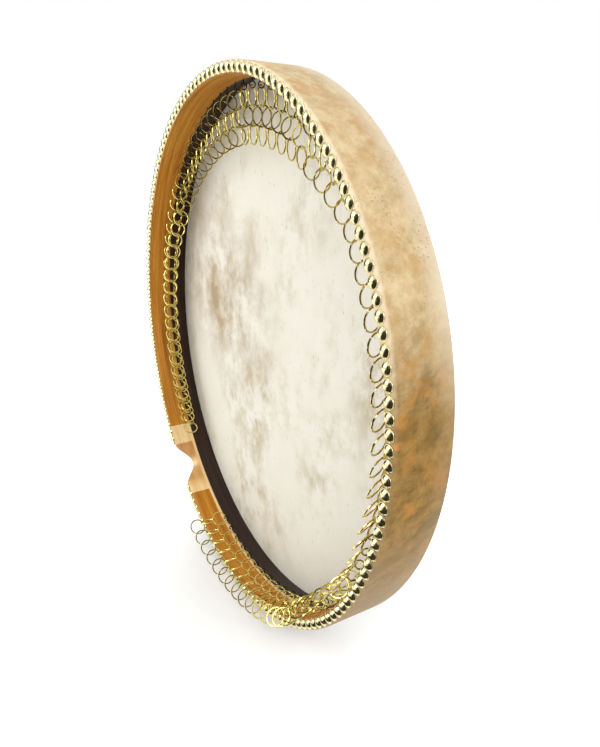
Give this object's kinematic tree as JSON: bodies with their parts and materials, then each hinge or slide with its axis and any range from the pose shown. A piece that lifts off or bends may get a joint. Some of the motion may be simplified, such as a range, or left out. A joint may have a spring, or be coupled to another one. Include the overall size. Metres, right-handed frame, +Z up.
{
  "type": "frame drum",
  "caption": "Wide hand drum on a thin wooden hoop with a hide head on one side and chains of brass rings hung inside the hoop that jingle as it moves.",
  "frame": {"origin": "centre of the head's outer face", "axes": "+Y out of the head along the drum's axis, -Y is the open back, +Z up as it stands on its rim"},
  "size_m": [0.5272, 0.0708, 0.5272],
  "materials": {
    "hoop_wood": "stained and varnished",
    "dark_lining": "dark gloss stain",
    "hide": "scraped rawhide",
    "brass_tacks": "bright domed heads",
    "brass_rings": "drawn wire",
    "black_hooks": "blackened steel"
  },
  "bodies": {
    "drum": {"hoop": "hoop_wood", "bevel_lining": "dark_lining", "drum_head": "hide", "head_skirt": "hide", "tacks": "brass_tacks", "hooks": "black_hooks"},
    "chain_01": {"chain_01": "brass_rings"},
    "chain_02": {"chain_02": "brass_rings"},
    "chain_03": {"chain_03": "brass_rings"},
    "chain_04": {"chain_04": "brass_rings"},
    "chain_05": {"chain_05": "brass_rings"},
    "chain_06": {"chain_06": "brass_rings"},
    "chain_07": {"chain_07": "brass_rings"},
    "chain_08": {"chain_08": "brass_rings"},
    "chain_09": {"chain_09": "brass_rings"},
    "chain_10": {"chain_10": "brass_rings"},
    "chain_11": {"chain_11": "brass_rings"},
    "chain_12": {"chain_12": "brass_rings"},
    "chain_13": {"chain_13": "brass_rings"},
    "chain_14": {"chain_14": "brass_rings"},
    "chain_15": {"chain_15": "brass_rings"},
    "chain_16": {"chain_16": "brass_rings"},
    "chain_17": {"chain_17": "brass_rings"},
    "chain_18": {"chain_18": "brass_rings"},
    "chain_19": {"chain_19": "brass_rings"},
    "chain_20": {"chain_20": "brass_rings"},
    "chain_21": {"chain_21": "brass_rings"},
    "chain_22": {"chain_22": "brass_rings"},
    "chain_23": {"chain_23": "brass_rings"},
    "chain_24": {"chain_24": "brass_rings"},
    "chain_25": {"chain_25": "brass_rings"},
    "chain_26": {"chain_26": "brass_rings"},
    "chain_27": {"chain_27": "brass_rings"},
    "chain_28": {"chain_28": "brass_rings"},
    "chain_29": {"chain_29": "brass_rings"},
    "chain_30": {"chain_30": "brass_rings"},
    "chain_31": {"chain_31": "brass_rings"},
    "chain_32": {"chain_32": "brass_rings"},
    "chain_33": {"chain_33": "brass_rings"},
    "chain_34": {"chain_34": "brass_rings"},
    "chain_35": {"chain_35": "brass_rings"},
    "chain_36": {"chain_36": "brass_rings"},
    "chain_37": {"chain_37": "brass_rings"},
    "chain_38": {"chain_38": "brass_rings"},
    "chain_39": {"chain_39": "brass_rings"},
    "chain_40": {"chain_40": "brass_rings"}
  },
  "joints": [
    {"name": "chain_01_swing", "type": "hinge", "parent": "drum", "child": "chain_01", "pos_m": [-0.21704, -0.0254, -0.1176], "axis": [-0.4764, 0, 0.8792], "range_deg": [0, 8]},
    {"name": "chain_02_swing", "type": "hinge", "parent": "drum", "child": "chain_02", "pos_m": [-0.23144, -0.0254, -0.08584], "axis": [-0.3478, 0, 0.9376], "range_deg": [0, 8]},
    {"name": "chain_03_swing", "type": "hinge", "parent": "drum", "child": "chain_03", "pos_m": [-0.24122, -0.0254, -0.05237], "axis": [-0.2122, 0, 0.9772], "range_deg": [0, 8]},
    {"name": "chain_04_swing", "type": "hinge", "parent": "drum", "child": "chain_04", "pos_m": [-0.2462, -0.0254, -0.01786], "axis": [-0.0724, 0, 0.9974], "range_deg": [0, 8]},
    {"name": "chain_05_swing", "type": "hinge", "parent": "drum", "child": "chain_05", "pos_m": [-0.24626, -0.0254, 0.017], "axis": [0.0689, 0, 0.9976], "range_deg": [-8, 0]},
    {"name": "chain_06_swing", "type": "hinge", "parent": "drum", "child": "chain_06", "pos_m": [-0.24141, -0.0254, 0.05153], "axis": [0.2088, 0, 0.978], "range_deg": [-8, 0]},
    {"name": "chain_07_swing", "type": "hinge", "parent": "drum", "child": "chain_07", "pos_m": [-0.23174, -0.0254, 0.08503], "axis": [0.3445, 0, 0.9388], "range_deg": [-8, 0]},
    {"name": "chain_08_swing", "type": "hinge", "parent": "drum", "child": "chain_08", "pos_m": [-0.21744, -0.0254, 0.11684], "axis": [0.4733, 0, 0.8809], "range_deg": [-8, 0]},
    {"name": "chain_09_swing", "type": "hinge", "parent": "drum", "child": "chain_09", "pos_m": [-0.19881, -0.0254, 0.14631], "axis": [0.5927, 0, 0.8054], "range_deg": [-8, 0]},
    {"name": "chain_10_swing", "type": "hinge", "parent": "drum", "child": "chain_10", "pos_m": [-0.17621, -0.0254, 0.17286], "axis": [0.7003, 0, 0.7139], "range_deg": [-10, 10]},
    {"name": "chain_11_swing", "type": "hinge", "parent": "drum", "child": "chain_11", "pos_m": [-0.1501, -0.0254, 0.19597], "axis": [0.7939, 0, 0.6081], "range_deg": [-12, 15]},
    {"name": "chain_12_swing", "type": "hinge", "parent": "drum", "child": "chain_12", "pos_m": [-0.12099, -0.0254, 0.21516], "axis": [0.8716, 0, 0.4901], "range_deg": [-12, 18]},
    {"name": "chain_13_swing", "type": "hinge", "parent": "drum", "child": "chain_13", "pos_m": [-0.08947, -0.0254, 0.23006], "axis": [0.932, 0, 0.3624], "range_deg": [-12, 18]},
    {"name": "chain_14_swing", "type": "hinge", "parent": "drum", "child": "chain_14", "pos_m": [-0.05616, -0.0254, 0.24037], "axis": [0.9738, 0, 0.2275], "range_deg": [-20, 20]},
    {"name": "chain_15_swing", "type": "hinge", "parent": "drum", "child": "chain_15", "pos_m": [-0.02173, -0.0254, 0.24589], "axis": [0.9961, 0, 0.088], "range_deg": [-20, 20]},
    {"name": "chain_16_swing", "type": "hinge", "parent": "drum", "child": "chain_16", "pos_m": [0.01313, -0.0254, 0.2465], "axis": [0.9986, 0, -0.0532], "range_deg": [-20, 20]},
    {"name": "chain_17_swing", "type": "hinge", "parent": "drum", "child": "chain_17", "pos_m": [0.04773, -0.0254, 0.24219], "axis": [0.9811, 0, -0.1934], "range_deg": [-20, 20]},
    {"name": "chain_18_swing", "type": "hinge", "parent": "drum", "child": "chain_18", "pos_m": [0.08138, -0.0254, 0.23304], "axis": [0.9441, 0, -0.3297], "range_deg": [-20, 20]},
    {"name": "chain_19_swing", "type": "hinge", "parent": "drum", "child": "chain_19", "pos_m": [0.11341, -0.0254, 0.21925], "axis": [0.8882, 0, -0.4594], "range_deg": [-20, 20]},
    {"name": "chain_20_swing", "type": "hinge", "parent": "drum", "child": "chain_20", "pos_m": [0.14317, -0.0254, 0.20109], "axis": [0.8146, 0, -0.58], "range_deg": [-20, 20]},
    {"name": "chain_21_swing", "type": "hinge", "parent": "drum", "child": "chain_21", "pos_m": [0.17007, -0.0254, 0.17891], "axis": [0.7248, 0, -0.689], "range_deg": [-20, 20]},
    {"name": "chain_22_swing", "type": "hinge", "parent": "drum", "child": "chain_22", "pos_m": [0.19359, -0.0254, 0.15316], "axis": [0.6205, 0, -0.7842], "range_deg": [-12, 0]},
    {"name": "chain_23_swing", "type": "hinge", "parent": "drum", "child": "chain_23", "pos_m": [0.21323, -0.0254, 0.12435], "axis": [0.5038, 0, -0.8638], "range_deg": [-12, 0]},
    {"name": "chain_24_swing", "type": "hinge", "parent": "drum", "child": "chain_24", "pos_m": [0.22863, -0.0254, 0.09307], "axis": [0.377, 0, -0.9262], "range_deg": [-12, 0]},
    {"name": "chain_25_swing", "type": "hinge", "parent": "drum", "child": "chain_25", "pos_m": [0.23946, -0.0254, 0.05993], "axis": [0.2428, 0, -0.9701], "range_deg": [-12, 0]},
    {"name": "chain_26_swing", "type": "hinge", "parent": "drum", "child": "chain_26", "pos_m": [0.24552, -0.0254, 0.02559], "axis": [0.1037, 0, -0.9946], "range_deg": [-12, 0]},
    {"name": "chain_27_swing", "type": "hinge", "parent": "drum", "child": "chain_27", "pos_m": [0.24667, -0.0254, -0.00926], "axis": [-0.0375, 0, -0.9993], "range_deg": [0, 8]},
    {"name": "chain_28_swing", "type": "hinge", "parent": "drum", "child": "chain_28", "pos_m": [0.24291, -0.0254, -0.04392], "axis": [-0.1779, 0, -0.984], "range_deg": [0, 8]},
    {"name": "chain_29_swing", "type": "hinge", "parent": "drum", "child": "chain_29", "pos_m": [0.23429, -0.0254, -0.07771], "axis": [-0.3148, 0, -0.9492], "range_deg": [0, 8]},
    {"name": "chain_30_swing", "type": "hinge", "parent": "drum", "child": "chain_30", "pos_m": [0.22101, -0.0254, -0.10995], "axis": [-0.4454, 0, -0.8953], "range_deg": [0, 8]},
    {"name": "chain_31_swing", "type": "hinge", "parent": "drum", "child": "chain_31", "pos_m": [0.20331, -0.0254, -0.13999], "axis": [-0.5671, 0, -0.8236], "range_deg": [0, 8]},
    {"name": "chain_32_swing", "type": "hinge", "parent": "drum", "child": "chain_32", "pos_m": [0.18156, -0.0254, -0.16724], "axis": [-0.6775, 0, -0.7355], "range_deg": [0, 8]},
    {"name": "chain_33_swing", "type": "hinge", "parent": "drum", "child": "chain_33", "pos_m": [0.15618, -0.0254, -0.19116], "axis": [-0.7744, 0, -0.6327], "range_deg": [0, 8]},
    {"name": "chain_34_swing", "type": "hinge", "parent": "drum", "child": "chain_34", "pos_m": [0.12769, -0.0254, -0.21125], "axis": [-0.8558, 0, -0.5173], "range_deg": [0, 8]},
    {"name": "chain_35_swing", "type": "hinge", "parent": "drum", "child": "chain_35", "pos_m": [0.09665, -0.0254, -0.22714], "axis": [-0.9202, 0, -0.3915], "range_deg": [0, 20]},
    {"name": "chain_36_swing", "type": "hinge", "parent": "drum", "child": "chain_36", "pos_m": [0.06368, -0.0254, -0.23849], "axis": [-0.9662, 0, -0.258], "range_deg": [0, 20]},
    {"name": "chain_37_swing", "type": "hinge", "parent": "drum", "child": "chain_37", "pos_m": [0.02944, -0.0254, -0.24508], "axis": [-0.9929, 0, -0.1193], "range_deg": [0, 20]},
    {"name": "chain_38_swing", "type": "hinge", "parent": "drum", "child": "chain_38", "pos_m": [-0.00539, -0.0254, -0.24679], "axis": [-0.9998, 0, 0.0218], "range_deg": [0, 20]},
    {"name": "chain_39_swing", "type": "hinge", "parent": "drum", "child": "chain_39", "pos_m": [-0.0401, -0.0254, -0.24357], "axis": [-0.9867, 0, 0.1625], "range_deg": [0, 20]},
    {"name": "chain_40_swing", "type": "hinge", "parent": "drum", "child": "chain_40", "pos_m": [-0.07402, -0.0254, -0.23549], "axis": [-0.954, 0, 0.2999], "range_deg": [0, 20]}
  ]
}
